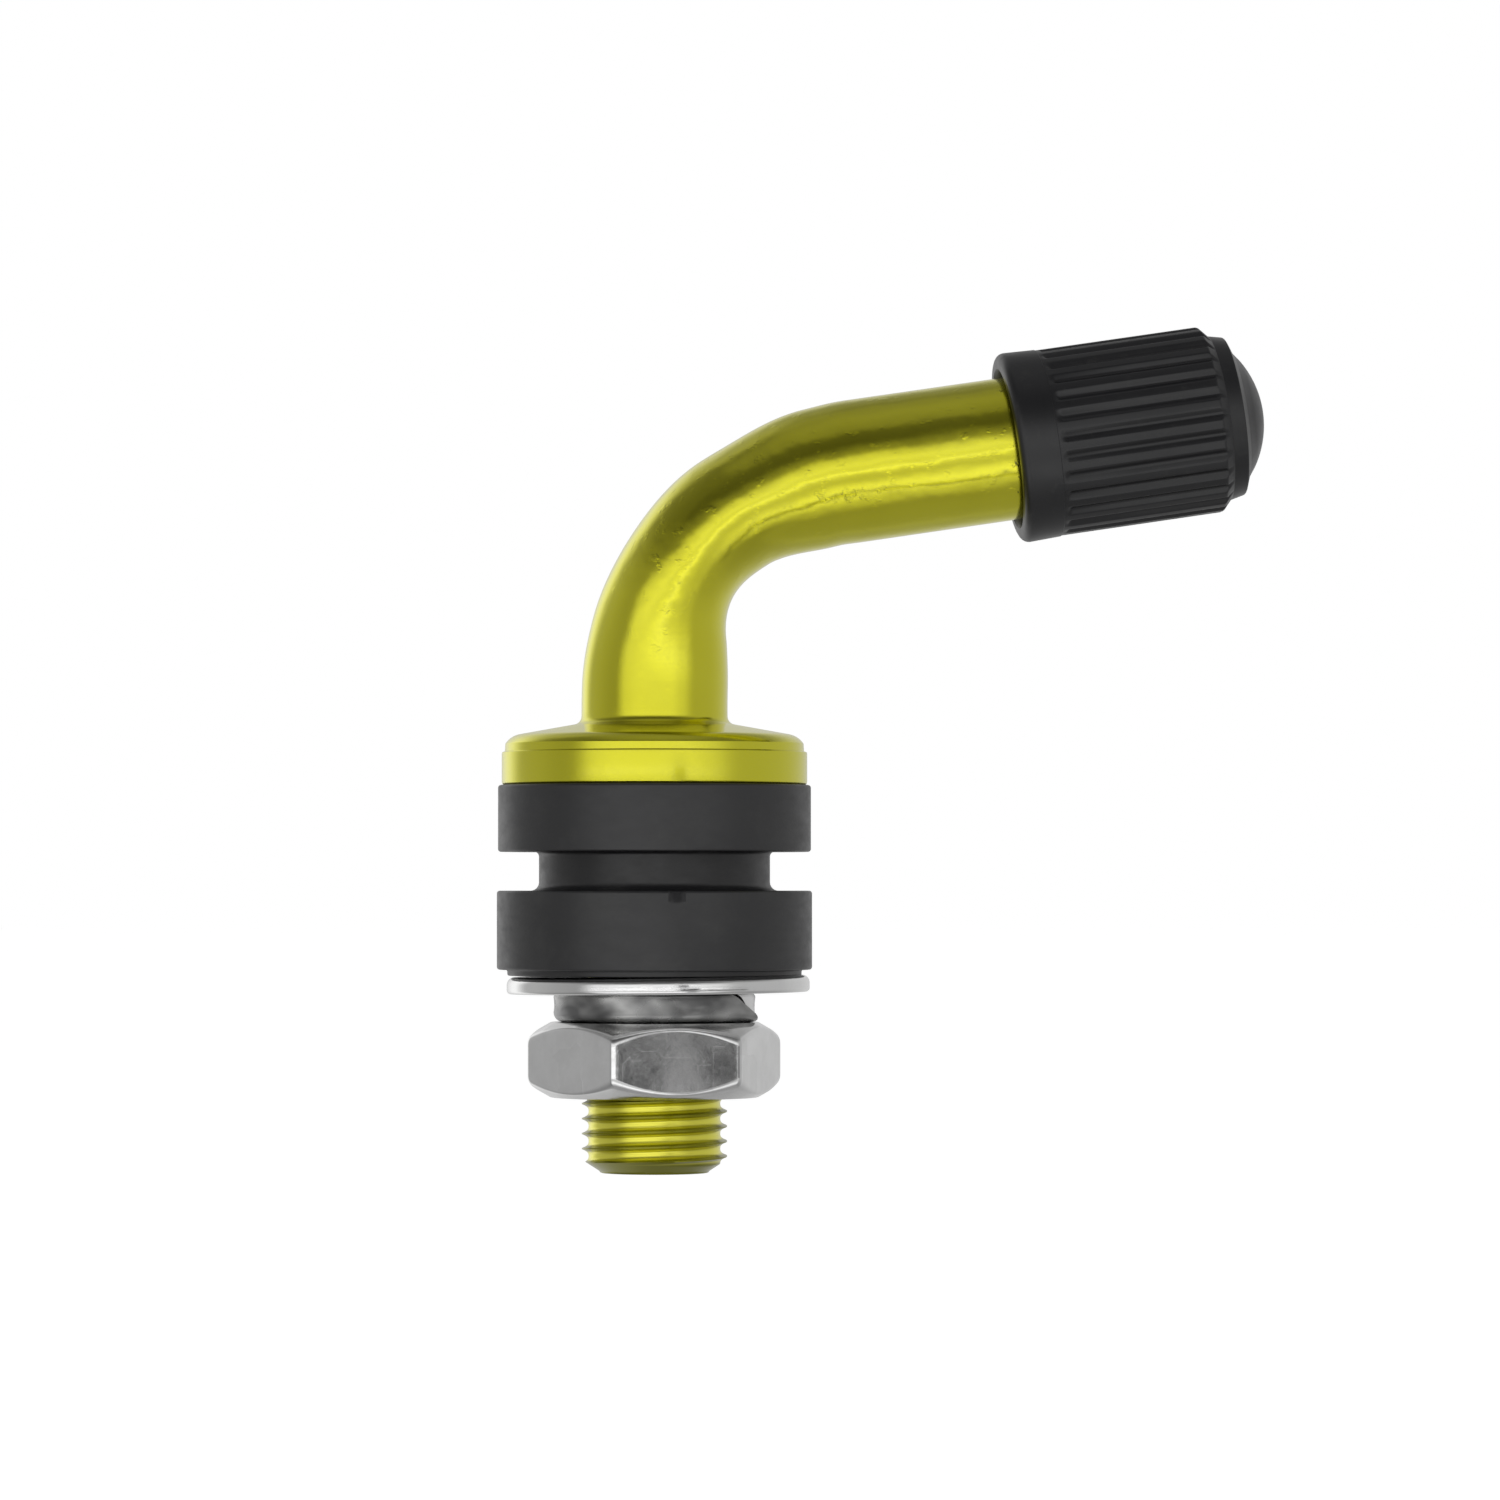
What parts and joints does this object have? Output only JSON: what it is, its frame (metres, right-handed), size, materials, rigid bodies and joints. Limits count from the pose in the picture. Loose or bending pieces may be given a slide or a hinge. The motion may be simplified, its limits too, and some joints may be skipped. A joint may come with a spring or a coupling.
{
  "type": "tyre valve",
  "caption": "Bent clamp-in tyre valve: rubber grommet, washers and nut on a threaded stem, a flattened elbow tube with a spring-loaded core, and a ribbed dust cap.",
  "frame": {"origin": "on the stem's axis, in the middle of the grommet's groove, where the rim's sheet lies", "axes": "+Z along the stem, towards the outside of the rim; +X along the side the bent arm points to; +Y away from the picture's viewer"},
  "size_m": [0.041, 0.0168, 0.0451],
  "materials": {
    "anodised_yellow": "bright yellow anodised",
    "rubber_black": "moulded, satin",
    "plated_washer": "bright nickel plate",
    "plated_nut": "bright zinc plate, tumbled",
    "plated_spring": "zinc plate, dull",
    "cap_plastic": "moulded, satin black",
    "seal_rubber": "plain",
    "core_brass": "turned",
    "core_steel": "drawn wire",
    "core_gasket": "plain red"
  },
  "bodies": {
    "valve": {"valve_body": "anodised_yellow", "grommet": "rubber_black", "core_plug": "core_brass", "core_barrel": "core_brass", "barrel_gasket": "core_gasket", "core_spring": "core_steel"},
    "washers": {"flat_washer": "plated_washer", "lock_washer": "plated_spring"},
    "nut": {"hex_nut": "plated_nut"},
    "cap_seal": {"cap_seal": "seal_rubber"},
    "cap": {"dust_cap": "cap_plastic"},
    "core_pin": {"core_pin": "core_brass", "core_cup": "core_brass", "cup_gasket": "seal_rubber"}
  },
  "joints": [
    {"name": "nut_travel", "type": "slide", "parent": "valve", "child": "washers", "axis": [0, 0, -1], "range_m": [0, 0.00833]},
    {"name": "nut_turn", "type": "hinge", "parent": "washers", "child": "nut", "pos_m": [0, 0, -0.00798], "axis": [0, 0, -1], "range_deg": [0, 3780]},
    {"name": "cap_travel", "type": "slide", "parent": "valve", "child": "cap_seal", "axis": [0.989, 0, 0.1478], "range_m": [0, 0.00992]},
    {"name": "cap_turn", "type": "hinge", "parent": "cap_seal", "child": "cap", "pos_m": [0.01889, 0, 0.02252], "axis": [0.989, 0, 0.1478], "range_deg": [0, 4500]},
    {"name": "pin_press", "type": "slide", "parent": "valve", "child": "core_pin", "axis": [-0.989, 0, -0.1478], "range_m": [0, 0.0012], "stiffness_N_per_m": 800, "springref_m": -0.002, "deforming": ["core_spring"]}
  ],
  "couplings": [
    {"joint": "nut_turn", "follows": "nut_travel", "rad_per_m": 7915.8},
    {"joint": "cap_turn", "follows": "cap_travel", "rad_per_m": 7915.8}
  ]
}
